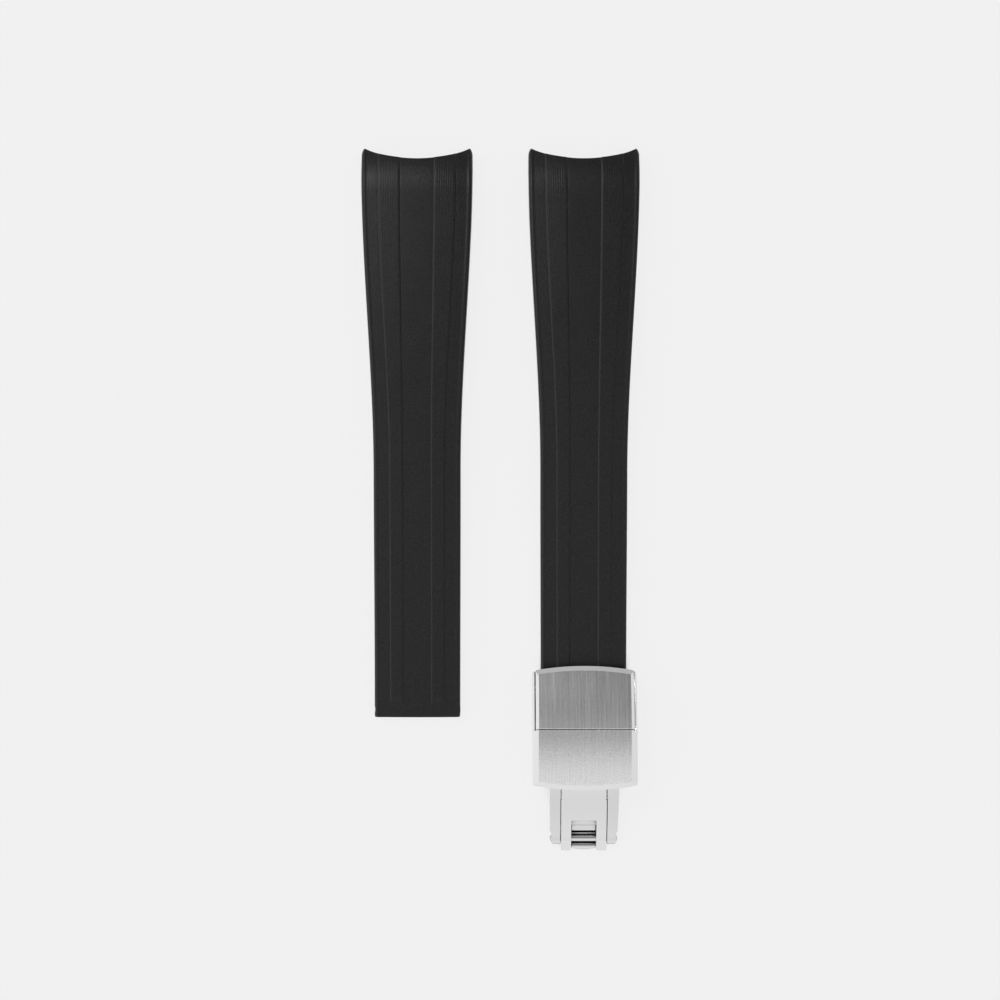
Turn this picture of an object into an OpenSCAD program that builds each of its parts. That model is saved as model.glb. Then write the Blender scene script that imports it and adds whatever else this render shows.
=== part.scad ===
// Two-part rubber watch strap with a folding clasp, laid out flat with both watch ends level.
// Millimetres, +Z up, +Y towards the watch ends, origin on the table under the middle of the layout.
// The clasp is closed. Its leaves, cover and lever follow arcs about one axis along X below the table.

/* [Layout] */
// Distance between the centre lines of the two halves
halves_pitch = 30.1; // [26:0.1:60]

/* [Rubber halves] */
// Width between the lugs of the watch
lug_w = 20; // [18:0.5:24]
// Width where the taper ends
waist_w = 15.7; // [14:0.1:17]
// Width at the square tail
tail_w = 15.5; // [14:0.1:16.5]
// Length of the loose half from the tips to the tail
loose_l = 102.8; // [80:0.1:130]
// Length of the half that the clasp is on
clasp_half_l = 99.6; // [80:0.1:130]
// Radius of the watch case that the concave ends follow
case_r = 23.5; // [20:0.5:35]
// Depth from the tips to the bottom of the concave end
case_dip = 2; // [1:0.05:3]
// Rubber thickness at the tail
tail_t = 2.5; // [2.3:0.1:3]
// Rubber thickness at the crown of the arch
crown_t = 3.1; // [2.6:0.1:4]
// Height of the underside above the table at the crown of the arch
arch_h = 2; // [0:0.1:5]
// Length over which the top falls towards the tips
nose_l = 10; // [6:0.5:16]
// Fall of the top at the tips
nose_drop = 1.9; // [0.5:0.1:2.4]
// Distance from the tips at which the taper ends
taper_end = 58; // [45:1:70]
// Half width of the middle panel at the lugs
panel_lug = 3.04; // [2:0.01:4]
// Half width of the middle panel at the tail
panel_tail = 2.5; // [1.8:0.01:3]
// Width of the plain outer band at the lugs
band_lug = 2.92; // [2.5:0.01:3.6]
// Width of the plain outer band at the tail
band_tail = 2.84; // [2.4:0.01:3]
// Fall of the top from the middle to the sides
camber = 0.2; // [0.05:0.05:0.4]
// Height of the two lengthwise stripes above the rest of the top
stripe_h = 0.12; // [0.05:0.01:0.2]
// Width of each sloping side of a stripe
stripe_slope = 0.3; // [0.1:0.05:0.5]
// Plain length between the end of the stripes and the tail
stripe_stop = 2.7; // [1.5:0.1:5]
// Distance of the edge groove from the side
lip_w = 0.86; // [0.6:0.01:1.2]
// Bore for the watch's own lug bar
lug_bore_d = 1.8; // [1.3:0.1:2]
// Height of the lug bore above the table
lug_bore_z = 2.15; // [1.7:0.05:2.4]
// Distance of the lug bore from the tips
lug_bore_in = 4; // [3.5:0.1:6]
// Distance of the strap bar from the end of the rubber
tail_bore_in = 1.4; // [1.25:0.05:2]

/* [Strap bars] */
// Outside diameter of a strap bar's tube
bar_d = 1.5; // [1.3:0.05:1.6]
// Wall of the tube
bar_wall = 0.2; // [0.15:0.01:0.25]
// Diameter of a plunger's tip
tip_d = 0.8; // [0.6:0.05:0.85]
// Travel of a plunger into the tube
plunger_travel = 0.8; // [0.5:0.05:1]
// Length of a plunger's shank inside the tube
shank_l = 2.6; // [2:0.1:4]
// Wire of the bar spring
wire_d = 0.18; // [0.14:0.01:0.2]
// Turns of the bar spring
coil_turns = 12; // [8:1:14]

/* [Clasp] */
// Radius of the underside of the lower leaf
clasp_r = 42.5; // [38:0.5:60]
// Thickness of the lower leaf's floor
floor_t = 0.75; // [0.6:0.05:1]
// Thickness of the upper leaf
leaf_t = 1; // [0.8:0.05:1.2]
// Thickness of the cover's plate and of the lever
plate_t = 0.95; // [0.8:0.05:1.2]
// Width of the upper leaf
leaf_w = 8.2; // [6:0.1:9]
// Width of each rail beside the upper leaf
rail_w = 2.05; // [1.6:0.05:2.2]
// Narrowing of each rail towards the fold pin
rail_taper = 0.2; // [0:0.05:0.4]
// Thickness of the ears that hold the strap bar
ear_t = 0.7; // [0.6:0.05:1]
// Thin side wall of the cover beside the ears
cover_wall = 0.6; // [0.5:0.05:1]
// Wall of the cover that stands beside the lever
frame_wall = 0.35; // [0.3:0.05:0.45]
// Slit between the lever and the cover's frame
lever_slit = 0.12; // [0.1:0.01:0.3]
// Offset of the lever to the right within its slits
lever_play = 0.05; // [0:0.01:0.08]
// Distance along Y from the strap bar to the fold pin
bar_to_fold = 26.65; // [25:0.05:30]
// Distance along Y from the strap bar to the top of the arch
bar_to_apex = 13; // [11:0.1:15]
// Distance along Y from the strap bar to the cover's hinge
bar_to_cover_pin = 7.9; // [7.5:0.1:9]
// Distance along Y from the strap bar to the lever pin
bar_to_lever_pin = 5.1; // [4.9:0.01:5.5]
// Overhang of the lever over the strap beyond the bar
lever_reach = 5.05; // [4:0.05:6]
// Distance along Y from the strap bar to the open end of the cover
bar_to_cover_end = 16.95; // [16:0.05:19]
// Diameter of the fold pin and of the cover pin
pin_d = 1.1; // [0.9:0.05:1.2]
// Diameter of the lever pin
lever_pin_d = 0.8; // [0.6:0.05:1]
// Length of the two prongs of the upper leaf beyond the fold pin
prong_tail = 2.15; // [1.8:0.05:2.4]
// Width of the slot between the prongs
slot_w = 4.55; // [3.5:0.01:5]
// Length of the slot from the fold pin
slot_l = 3.55; // [3:0.05:5]
// Radius of the bowed ends of the cover
bow_r = 49; // [30:1:90]
// Width of the polished bevels at the sides
bevel_w = 1.05; // [0.6:0.05:1.3]
// Width of the polished bevels at the bowed ends
end_bevel_w = 1; // [0.6:0.05:1.3]
// Depth of the polished bevels
bevel_h = 0.4; // [0.3:0.05:0.8]
// Corner radius of the cover, seen from above
corner_r = 0.75; // [0.4:0.05:1]
// Depth of the cover's sides below the plate
side_depth = 3.05; // [2.4:0.05:3.1]

/* [Fits] */
// Radial clearance of a running pin
run_gap = 0.04; // [0.02:0.01:0.06]
// Clearance between flat faces that pass each other
face_gap = 0.1; // [0.06:0.01:0.15]
// Clearance beside the upper leaf
leaf_gap = 0.15; // [0.1:0.01:0.3]
// Clearance between the ears and the cover
ear_gap = 0.15; // [0.12:0.01:0.2]

/* [Hidden] */
$fn = 72;
arc_fn = 360;
// Overshoot of a cut past the surface it opens, and the block that covers the whole height
cut = 1;
low_z = -2;
tall = 14;
// Overlap of two solids that are joined, and the offset that keeps a cut off a tangent line
overlap = 0.01;
tangent_gap = 0.02;

// Layout worked out from the sizes above
tip_y = (clasp_half_l - tail_bore_in + bar_to_fold + prong_tail) / 2;
loose_x = -halves_pitch / 2;
clasp_x = halves_pitch / 2;
bar_y = tip_y - clasp_half_l + tail_bore_in;
fold_y = bar_y - bar_to_fold;
arc_y = bar_y - bar_to_apex;
cover_pin_y = bar_y - bar_to_cover_pin;
lever_pin_y = bar_y - bar_to_lever_pin;
lever_front_y = bar_y + lever_reach;
cover_end_y = bar_y - bar_to_cover_end;
prong_swing_gap = 0.35;
floor_end_y = fold_y + prong_tail + prong_swing_gap;
cover_bar_in = 2.6;

// Radii of the layers of the closed clasp, from the wrist outwards
floor_top_r = clasp_r + floor_t;
leaf_in_r = floor_top_r + face_gap;
leaf_out_r = leaf_in_r + leaf_t;
plate_in_r = leaf_out_r + tail_t + 2 * face_gap;
top_r = plate_in_r + plate_t;
tray_out_r = plate_in_r - face_gap;
tray_t = 0.5;
tray_in_r = tray_out_r - tray_t;
side_in_r = plate_in_r - side_depth;

// The arc axis is placed so that the rails clear the table at the fold pin
rail_lift = 0.45;
arc_z = rail_lift - sqrt(pow(clasp_r, 2) - pow(fold_y - arc_y, 2));
function z_on(r, y) = arc_z + sqrt(pow(r, 2) - pow(y - arc_y, 2));
function tilt_at(r, y) = asin((y - arc_y) / r);

// Hinge axes
fold_eye_r = 1.05;
eye_proud = 0.05;
fold_z = z_on(leaf_out_r, fold_y) - fold_eye_r + eye_proud;
knuckle_r = 1.2;
cover_pin_r = leaf_in_r + knuckle_r;
cover_pin_z = z_on(cover_pin_r, cover_pin_y);
lever_pin_drop = 0.15;
lever_pin_r = plate_in_r - lever_pin_drop;
lever_pin_z = z_on(lever_pin_r, lever_pin_y);
lever_heel_r = 1.5;
lever_boss_r = 0.8;
bar_z = tail_t / 2;
cover_bar_y = cover_end_y + cover_bar_in;
cover_bar_z = z_on(leaf_out_r + face_gap + tail_t / 2, cover_bar_y);

// Half widths
leaf_h = leaf_w / 2;
pocket_h = leaf_h + leaf_gap;
rail_h = pocket_h + rail_w;
ear_in_h = tail_w / 2 + face_gap;
ear_out_h = ear_in_h + ear_t;
cover_in_h = ear_out_h + ear_gap;
cover_h = cover_in_h + cover_wall;
side_in_h = tail_w / 2 + 2 * face_gap;
lever_h = cover_h - frame_wall - lever_slit;
slot_h = slot_w / 2;
tongue_h = slot_h - face_gap;

function ease(s) = let (c = min(max(s, 0), 1)) c * c * (3 - 2 * c);
function mix(a, b, s) = a + (b - a) * s;

// Rubber half: widths, heights and cross-section at the distance t from the tips
tip_round = 0.36;
tip_round_l = 1.2;
taper_start = 3;
function taper(t) = ease((t - taper_start) / (taper_end - taper_start));
function half_w(t, l) =
    mix(mix(lug_w, waist_w, taper(t)), tail_w, ease((t - taper_end) / (l - taper_end))) / 2
    - tip_round * pow(max(0, 1 - t / tip_round_l), 2);
arch_start = 24;
function arch(t, l) = ease((l - t) / (l - arch_start));
function top_z(t, l) = tail_t + (arch_h + crown_t - tail_t) * arch(t, l)
    - nose_drop * pow(max(0, 1 - t / nose_l), 2);
function under_z(t, l) =
    arch_h * (t > arch_start ? arch(t, l) : ease((t - nose_l) / (arch_start - nose_l)));
groove_w = 0.14;
groove_d = 0.12;
lip_fall = 0.03;
shoulder_w = 0.3;
shoulder_z = 0.2;
side_z = 0.6;
foot_w = 0.35;
function stripe_at(t, l) = t > l - stripe_stop ? 0 : stripe_h;
function half_section(t, l) =
    let (w = half_w(t, l), s = taper(t), p = mix(panel_lug, panel_tail, s), h = stripe_at(t, l),
         o = w - mix(band_lug, band_tail, s), th = top_z(t, l) - under_z(t, l))
    [[p, 0], [p + stripe_slope, h], [o - stripe_slope, h], [o, 0],
     [w - lip_w - groove_w, 0], [w - lip_w, -groove_d], [w - lip_w + groove_w, -lip_fall],
     [w - shoulder_w, -shoulder_z], [w, -side_z], [w, foot_w - th], [w - foot_w, -th]];
function section_ring(t, l) =
    let (h = half_section(t, l), n = len(h), z = top_z(t, l), y = tip_y - t, w = half_w(t, l),
         zs = [for (i = [0 : n - 1]) z + h[i][1] - (i < n - 2 ? camber * pow(h[i][0] / w, 2) : 0)])
    concat([for (i = [0 : n - 1]) [h[i][0], y, zs[i]]],
           [for (i = [n - 1 : -1 : 0]) [-h[i][0], y, zs[i]]]);
nose_steps = 6;
taper_steps = 12;
tail_steps = 5;
wall_l = 0.05;
function stations(l) = concat(
    [for (i = [0 : nose_steps - 1]) nose_l * i / nose_steps],
    [for (i = [0 : taper_steps - 1]) mix(nose_l, taper_end, i / taper_steps)],
    [for (i = [0 : tail_steps]) mix(taper_end, l - stripe_stop, i / tail_steps)],
    [l - stripe_stop + wall_l, l]);

module loft(rings) {
    n = len(rings[0]);
    m = len(rings);
    polyhedron(
        points = [for (r = rings) for (p = r) p],
        faces = concat(
            [[for (i = [n - 1 : -1 : 0]) i]],
            [for (j = [0 : m - 2]) for (i = [0 : n - 1]) let (k = (i + 1) % n)
                [j * n + i, (j + 1) * n + k, (j + 1) * n + i]],
            [for (j = [0 : m - 2]) for (i = [0 : n - 1]) let (k = (i + 1) % n)
                [j * n + i, j * n + k, (j + 1) * n + k]],
            [[for (i = [0 : n - 1]) (m - 1) * n + i]]));
}

// A cylinder along X, centred across the part
module rod(r, w, fn = 72) {
    rotate([0, 90, 0]) cylinder(r = r, h = w, center = true, $fn = fn);
}
module at_pin(y, z) { translate([0, y, z]) children(); }
module both_sides() {
    children();
    mirror([1, 0, 0]) children();
}

module rubber_half(l) {
    case_y = tip_y - case_dip + case_r;
    color([0.17, 0.17, 0.18]) difference() {
        loft([for (t = stations(l)) section_ring(t, l)]);
        translate([0, case_y, low_z]) cylinder(r = case_r, h = tall, $fn = arc_fn);
        at_pin(tip_y - lug_bore_in, lug_bore_z) rod(lug_bore_d / 2, lug_w + 2 * cut);
        at_pin(tip_y - l + tail_bore_in, bar_z) rod(bar_d / 2 + run_gap, tail_w + 2 * cut);
    }
}
module strap_half_loose() { translate([loose_x, 0, 0]) rubber_half(loose_l); }
module strap_half_clasp() { translate([clasp_x, 0, 0]) rubber_half(clasp_half_l); }

// Parts of a ring about the arc axis
module ring(r_in, r_out, h) {
    translate([0, arc_y, arc_z]) difference() {
        rod(r_out, 2 * h, arc_fn);
        rod(r_in, 2 * (h + cut), arc_fn);
    }
}
// A slab that keeps what lies between two Y values
module between_y(y0, y1, h) { translate([-h, y0, low_z]) cube([2 * h, y1 - y0, tall]); }
// A block across |x| from h0 to h1 on both sides
module side_slabs(h0, h1, y0, y1) {
    both_sides() translate([h0, y0, low_z]) cube([h1 - h0, y1 - y0, tall]);
}
// The frame that stands upright on the arc at y, with its origin at radius r
module on_arc(r, y) {
    translate([0, arc_y, arc_z]) rotate([-tilt_at(r, y), 0, 0]) translate([0, 0, r]) children();
}
// What lies inside a bowed and bevelled end: dir is 1 at the front and -1 at the open end
module bowed_end(y, dir, inset, bevel) {
    deep = 20;
    on_arc(top_r, y) translate([0, -dir * (bow_r + inset), 0]) {
        translate([0, 0, -deep]) cylinder(r = bow_r, h = deep - bevel_h, $fn = arc_fn);
        translate([0, 0, -bevel_h - overlap])
            cylinder(r1 = bow_r, r2 = bow_r - (bevel ? end_bevel_w : 0) * 2, h = 2 * bevel_h, $fn = arc_fn);
    }
}
// What a rounded corner takes off both sides of a bowed end
corner_deep = 6;
module round_corners(y, dir, inset, h, r) {
    mid_y = sqrt(pow(bow_r - r, 2) - pow(h - r, 2)) + tangent_gap;
    on_arc(top_r, y) translate([0, -dir * (bow_r + inset), 0]) both_sides()
        translate([h - r + tangent_gap, dir * mid_y, -corner_deep]) difference() {
            translate([0, (dir - 1) * r, 0]) cube([2 * r, 2 * r, corner_deep + cut]);
            translate([0, 0, -cut]) cylinder(r = r, h = corner_deep + 3 * cut);
        }
}
// Chamfers of two corners, seen from above, at an end that faces away from the watch
module corner_chamfers(h, y, leg) {
    side = (leg + tangent_gap) * sqrt(2);
    both_sides() translate([h, y - tangent_gap, 0]) rotate([0, 0, 45]) cube([side, side, 2 * tall], center = true);
}
// A ring slice whose outer side edges are bevelled
module bevelled_ring(r_in, r_out, h, bw) {
    translate([0, arc_y, arc_z]) difference() {
        union() {
            rod(r_out, 2 * (h - bw), arc_fn);
            both_sides() rotate([0, 90, 0]) translate([0, 0, h - bw])
                cylinder(r1 = r_out, r2 = r_out - bevel_h * bw / bevel_w, h = bw, $fn = arc_fn);
        }
        rod(r_in, 2 * (h + cut), arc_fn);
    }
}

// Lower leaf: rails, floor with its window, the dipped tongue, and the ears for the strap bar
window_from_pin = 7.25;
window_past_apex = 2;
rail_end_gap = 2;
rail_end_y = cover_pin_y - rail_end_gap;
notch_in = 1.45;
ear_step = 0.25;
eye_corner = 0.35;
pin_ear_h = rail_h - rail_taper - ear_step;
cheek_y0 = bar_y - 3.4;
cheek_y1 = bar_y - 2;
cheek_drop = 1.15;
cheek_r = tray_in_r - cheek_drop;
neck_in = 0.4;
neck_h = 0.9;
bead_r = 0.7;
bead_y = fold_y - prong_tail + bead_r;
tongue_t = 0.7;
tongue_z = 0.05;
tongue_dip_in = 0.95;
tongue_level_in = 1.45;
tongue_end_r = 8;
tongue_root = 0.5;
root_inset = 0.05;
module tongue() {
    top_y = fold_y + tongue_dip_in;
    level_y = fold_y + tongue_level_in;
    under_y = top_y + tongue_t / 2;
    root_y = floor_end_y + tongue_root;
    intersection() {
        union() {
            translate([-tongue_h, 0, 0]) rotate([90, 0, 90]) linear_extrude(2 * tongue_h)
                polygon([[root_y, z_on(clasp_r + root_inset, root_y)],
                         [root_y, z_on(floor_top_r - root_inset, root_y)],
                         [level_y, z_on(floor_top_r, level_y) - root_inset],
                         [top_y, tongue_z + tongue_t], [bead_y, tongue_z + tongue_t],
                         [bead_y, tongue_z], [under_y, tongue_z],
                         [floor_end_y, z_on(clasp_r, floor_end_y) + root_inset]]);
            at_pin(bead_y, bead_r) rod(bead_r, 2 * tongue_h);
        }
        translate([0, fold_y - prong_tail + tongue_end_r + tangent_gap, low_z])
            cylinder(r = tongue_end_r, h = tall, $fn = arc_fn);
    }
}
// Plan of the rails: narrowing towards the fold pin and stepped in beside the rivet heads
module rail_plan() {
    notch_y = fold_y + notch_in;
    edge = [[rail_h, rail_end_y], [rail_h, cover_end_y], [rail_h - rail_taper, notch_y],
            [pin_ear_h, notch_y - ear_step], [pin_ear_h, fold_y]];
    polygon(concat(edge, [for (i = [len(edge) - 1 : -1 : 0]) [-edge[i][0], edge[i][1]]]));
}
module leaf_body() {
    intersection() {
        ring(clasp_r, leaf_out_r, rail_h);
        translate([0, 0, low_z]) linear_extrude(tall) rail_plan();
    }
    at_pin(fold_y, fold_z) rod(fold_eye_r, 2 * pin_ear_h);
    // Floor of the leaf, up to the strap end
    intersection() {
        ring(clasp_r, floor_top_r, rail_h);
        between_y(rail_end_y - cut, cheek_y1, rail_h);
    }
    // Cross bar, cheeks and the ears of the strap bar
    intersection() {
        ring(clasp_r, floor_top_r, ear_out_h);
        between_y(cheek_y0, cheek_y1, ear_out_h);
    }
    intersection() {
        ring(clasp_r, cheek_r, ear_out_h);
        side_slabs(ear_in_h, ear_out_h, cheek_y0, cheek_y1);
    }
    neck_y = cheek_y1 - neck_in;
    both_sides() translate([ear_in_h, 0, 0]) rotate([90, 0, 90]) linear_extrude(ear_t) {
        polygon([[neck_y, z_on(clasp_r, neck_y)], [neck_y, z_on(floor_top_r + neck_h, neck_y)],
                 [bar_y, 2 * bar_z - overlap], [bar_y, bar_z / 4]]);
        translate([bar_y, bar_z]) circle(r = bar_z);
    }
}
module lower_leaf() {
    color("gainsboro") translate([clasp_x, 0, 0]) {
        difference() {
            leaf_body();
            // Pocket of the upper leaf
            intersection() {
                ring(floor_top_r, leaf_out_r + cut, pocket_h);
                between_y(floor_end_y - cut, rail_end_y + cut, pocket_h);
            }
            between_y(fold_y - 2 * cut, floor_end_y, pocket_h);
            // Window in the floor
            between_y(fold_y + window_from_pin, arc_y + window_past_apex, pocket_h);
            at_pin(fold_y, fold_z) rod(pin_d / 2, 2 * rail_h);
            at_pin(bar_y, bar_z) rod(tip_d / 2 + run_gap, 2 * (ear_out_h + cut));
            on_arc(stud_r, stud_y) rod(stud_d / 2, 2 * (ear_out_h + cut));
            corner_chamfers(pin_ear_h, fold_y - fold_eye_r, eye_corner);
        }
        tongue();
    }
}

// Upper leaf: slotted at the fold pin, a little narrower beyond the rails' grip, rolled round the cover pin
neck_from_pin = 7.45;
neck_in_w = 0.12;
module upper_leaf() {
    slot_r = 0.25;
    prong_corner = 0.2;
    prong_y = fold_y - prong_tail;
    color("gainsboro") translate([clasp_x, 0, 0]) difference() {
        union() {
            intersection() {
                ring(leaf_in_r, leaf_out_r, leaf_h);
                between_y(prong_y, cover_pin_y, leaf_h);
            }
            at_pin(fold_y, fold_z) rod(fold_eye_r - eye_proud, 2 * leaf_h);
            at_pin(cover_pin_y, cover_pin_z) rod(knuckle_r, 2 * leaf_h);
        }
        side_slabs(leaf_h - neck_in_w, leaf_h + cut, fold_y + neck_from_pin, cover_pin_y + 2 * knuckle_r);
        between_y(prong_y - cut, fold_y + slot_l - slot_r, slot_h);
        between_y(fold_y, fold_y + slot_l, slot_h - slot_r);
        both_sides() translate([slot_h - slot_r, fold_y + slot_l - slot_r, low_z])
            cylinder(r = slot_r, h = tall);
        corner_chamfers(leaf_h, prong_y, prong_corner);
        corner_chamfers(slot_h, prong_y, prong_corner);
        at_pin(fold_y, fold_z) rod(pin_d / 2 + run_gap, 2 * (leaf_h + cut));
        at_pin(cover_pin_y, cover_pin_z) rod(pin_d / 2 + run_gap, 2 * (leaf_h + cut));
    }
}

// Fold pin, riveted over at both ends
head_r = 0.65;
head_h = 0.3;
module fold_pin() {
    dome_r = (pow(head_r, 2) + pow(head_h, 2)) / (2 * head_h);
    color("silver") translate([clasp_x, fold_y, fold_z]) {
        rod(pin_d / 2, 2 * pin_ear_h);
        both_sides() intersection() {
            translate([pin_ear_h + head_h - dome_r, 0, 0]) sphere(r = dome_r);
            translate([pin_ear_h, -head_r, -head_r]) cube([head_h, 2 * head_r, 2 * head_r]);
        }
    }
}

// Cover: plate and sides at the open end, tray and frame under the lever
lug_gap = 0.05;
lug_in_h = pocket_h + lug_gap;
lug_w_x = 1.6;
lug_r = 1.1;
lug_root = 0.2;
thick_end_y = cheek_y0 - 0.6;
tray_end_in = 1.35;
tray_inset = 0.8;
frame_inset = 0.15;
front_l = 4;
dimple_gap = 0.05;
module hinge_lugs() {
    both_sides() translate([lug_in_h, 0, 0]) rotate([90, 0, 90]) linear_extrude(lug_w_x) {
        translate([cover_pin_y, cover_pin_z]) circle(r = lug_r);
        translate([cover_pin_y - lug_r, cover_pin_z]) square([2 * lug_r, leaf_t + tail_t]);
    }
}
module cover_body() {
    intersection() {
        bevelled_ring(side_in_r, top_r, cover_h, bevel_w);
        bowed_end(lever_front_y, 1, frame_inset, true);
        bowed_end(cover_end_y, -1, 0, true);
    }
    intersection() {
        hinge_lugs();
        translate([0, arc_y, arc_z]) rod(plate_in_r + lug_root, 2 * cover_h, arc_fn);
    }
}
module clasp_cover() {
    seat_h = cover_h - frame_wall;
    front_y = lever_front_y + cut;
    color("silver") translate([clasp_x, 0, 0]) difference() {
        cover_body();
        round_corners(lever_front_y, 1, frame_inset, cover_h, corner_r);
        round_corners(cover_end_y, -1, 0, cover_h, corner_r);
        // Room for the strap between the sides
        difference() {
            intersection() {
                ring(side_in_r - cut, plate_in_r, side_in_h);
                between_y(cover_end_y - cut, thick_end_y + face_gap, side_in_h);
            }
            hinge_lugs();
        }
        // Room for the ears and the strap under the tray
        intersection() {
            ring(side_in_r - cut, tray_in_r, cover_in_h);
            between_y(thick_end_y, front_y, cover_in_h);
        }
        // Open well behind the tray
        intersection() {
            ring(tray_in_r - tray_t, top_r + cut, side_in_h);
            between_y(thick_end_y, lever_pin_y + tray_end_in, side_in_h);
        }
        // Seat of the lever and of its heel
        intersection() {
            ring(tray_out_r, top_r + cut, seat_h);
            between_y(lever_pin_y, front_y, cover_h);
        }
        intersection() {
            at_pin(lever_pin_y, lever_pin_z) rod(lever_heel_r + face_gap, 2 * seat_h);
            between_y(lever_pin_y - 2 * lever_heel_r, lever_pin_y + overlap, cover_h);
            ring(tray_in_r - cut, top_r + cut, cover_h);
        }
        // The tray stops short of the lever's front lip
        difference() {
            intersection() {
                ring(tray_in_r - tray_t, top_r + cut, cover_in_h);
                between_y(lever_front_y - front_l, front_y, cover_in_h);
            }
            bowed_end(lever_front_y, 1, tray_inset, false);
        }
        at_pin(cover_pin_y, cover_pin_z) rod(pin_d / 2, 2 * (lug_in_h + lug_w_x + overlap));
        at_pin(lever_pin_y, lever_pin_z) rod(lever_pin_d / 2, 2 * (cover_h + cut));
        at_pin(cover_bar_y, cover_bar_z) rod(tip_d / 2 + run_gap, 2 * (cover_h + cut));
        on_arc(stud_r, stud_y) rod(stud_head_r + dimple_gap, 2 * (cover_in_h + stud_head_h));
    }
}
module cover_pin() {
    color("silver") translate([clasp_x, cover_pin_y, cover_pin_z]) rod(pin_d / 2, 2 * (lug_in_h + lug_w_x));
}

// Lock lever: plate with bevels on three sides, front lip, heel and two bosses on the pin
lip_drop = 0.6;
lip_l = 0.6;
lip_root = 0.2;
lever_corner_r = 0.4;
boss_in_h = 5.6;
boss_w = 1.6;
module lock_lever() {
    color("silver") translate([clasp_x + lever_play, 0, 0]) difference() {
        union() {
            intersection() {
                bevelled_ring(plate_in_r, top_r, lever_h, bevel_w - frame_wall - lever_slit);
                bowed_end(lever_front_y, 1, 0, true);
                union() {
                    between_y(lever_pin_y, lever_front_y + cut, lever_h);
                    at_pin(lever_pin_y, lever_pin_z) rod(lever_heel_r, 2 * lever_h);
                }
            }
            difference() {
                intersection() {
                    ring(plate_in_r - lip_drop, plate_in_r + lip_root, cover_in_h - face_gap);
                    bowed_end(lever_front_y, 1, 0, true);
                    between_y(lever_front_y - front_l, lever_front_y + cut, lever_h);
                }
                bowed_end(lever_front_y, 1, lip_l, false);
            }
            both_sides() at_pin(lever_pin_y, lever_pin_z) translate([boss_in_h, 0, 0]) rotate([0, 90, 0])
                cylinder(r = lever_boss_r, h = boss_w);
        }
        at_pin(lever_pin_y, lever_pin_z) rod(lever_pin_d / 2 + run_gap, 2 * (lever_h + cut));
        round_corners(lever_front_y, 1, 0, lever_h, lever_corner_r);
    }
}
lever_pin_in = 0.1;
module lever_pin() {
    color("silver") translate([clasp_x, lever_pin_y, lever_pin_z])
        rod(lever_pin_d / 2, 2 * (cover_h - lever_pin_in));
}

// Catch studs, riveted in the cheeks and standing just clear of dimples in the cover
stud_d = 0.6;
stud_head_r = 0.5;
stud_head_h = 0.1;
stud_y = (cheek_y0 + cheek_y1) / 2;
stud_in = 0.7;
stud_r = cheek_r - stud_in;
module catch_stud() {
    color("silver") on_arc(stud_r, stud_y) rotate([0, 90, 0]) {
        translate([0, 0, ear_in_h]) cylinder(r = stud_d / 2, h = ear_t);
        translate([0, 0, ear_out_h]) cylinder(r = stud_head_r, h = stud_head_h);
    }
}
module catch_stud_left() { translate([clasp_x, 0, 0]) mirror([1, 0, 0]) catch_stud(); }
module catch_stud_right() { translate([clasp_x, 0, 0]) catch_stud(); }

// Strap bars: a tube with crimped ends, a spring, and two plungers
crimp_l = 0.25;
bar_end_gap = 0.1;
clasp_bar_h = ear_in_h - bar_end_gap;
cover_bar_h = side_in_h - bar_end_gap;
bar_in_r = bar_d / 2 - bar_wall;
shank_r = bar_in_r - run_gap;
module bar_tube(h) {
    color("silver") difference() {
        rod(bar_d / 2, 2 * h);
        rod(bar_in_r, 2 * (h - crimp_l));
        rod(tip_d / 2 + run_gap, 2 * (h + cut));
    }
}
module bar_plunger(h, reach_h) {
    color("gainsboro") rotate([0, 90, 0]) {
        translate([0, 0, h - crimp_l - shank_l]) cylinder(r = shank_r, h = shank_l);
        translate([0, 0, h - crimp_l - overlap])
            cylinder(r = tip_d / 2, h = reach_h - h + crimp_l + overlap);
    }
}
wire_sides = 6;
ring_turn = 8;
coil_gap = 0.06;
seat_gap = 0.02;
function coil_ring(a, pitch, r, x0) = [for (i = [0 : wire_sides - 1]) let (b = 360 * i / wire_sides)
    [x0 + pitch * a / 360 + wire_d / 2 * sin(b), (r + wire_d / 2 * cos(b)) * cos(a),
     (r + wire_d / 2 * cos(b)) * sin(a)]];
module bar_spring(h) {
    seat = h - crimp_l - shank_l - seat_gap - wire_d / 2;
    pitch = 2 * seat / coil_turns;
    r = bar_in_r - coil_gap - wire_d / 2;
    color("dimgray")
        loft([for (i = [0 : coil_turns * ring_turn]) coil_ring(360 * i / ring_turn, pitch, r, -seat)]);
}
module on_clasp_bar() { translate([clasp_x, bar_y, bar_z]) children(); }
module on_cover_bar() { translate([clasp_x, cover_bar_y, cover_bar_z]) children(); }
clasp_tip_h = clasp_bar_h + plunger_travel;
cover_tip_h = cover_bar_h + plunger_travel;
module clasp_bar_tube() { on_clasp_bar() bar_tube(clasp_bar_h); }
module clasp_bar_spring() { on_clasp_bar() bar_spring(clasp_bar_h); }
module clasp_bar_plunger_left() { on_clasp_bar() mirror([1, 0, 0]) bar_plunger(clasp_bar_h, clasp_tip_h); }
module clasp_bar_plunger_right() { on_clasp_bar() bar_plunger(clasp_bar_h, clasp_tip_h); }
module cover_bar_tube() { on_cover_bar() bar_tube(cover_bar_h); }
module cover_bar_spring() { on_cover_bar() bar_spring(cover_bar_h); }
module cover_bar_plunger_left() { on_cover_bar() mirror([1, 0, 0]) bar_plunger(cover_bar_h, cover_tip_h); }
module cover_bar_plunger_right() { on_cover_bar() bar_plunger(cover_bar_h, cover_tip_h); }

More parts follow.
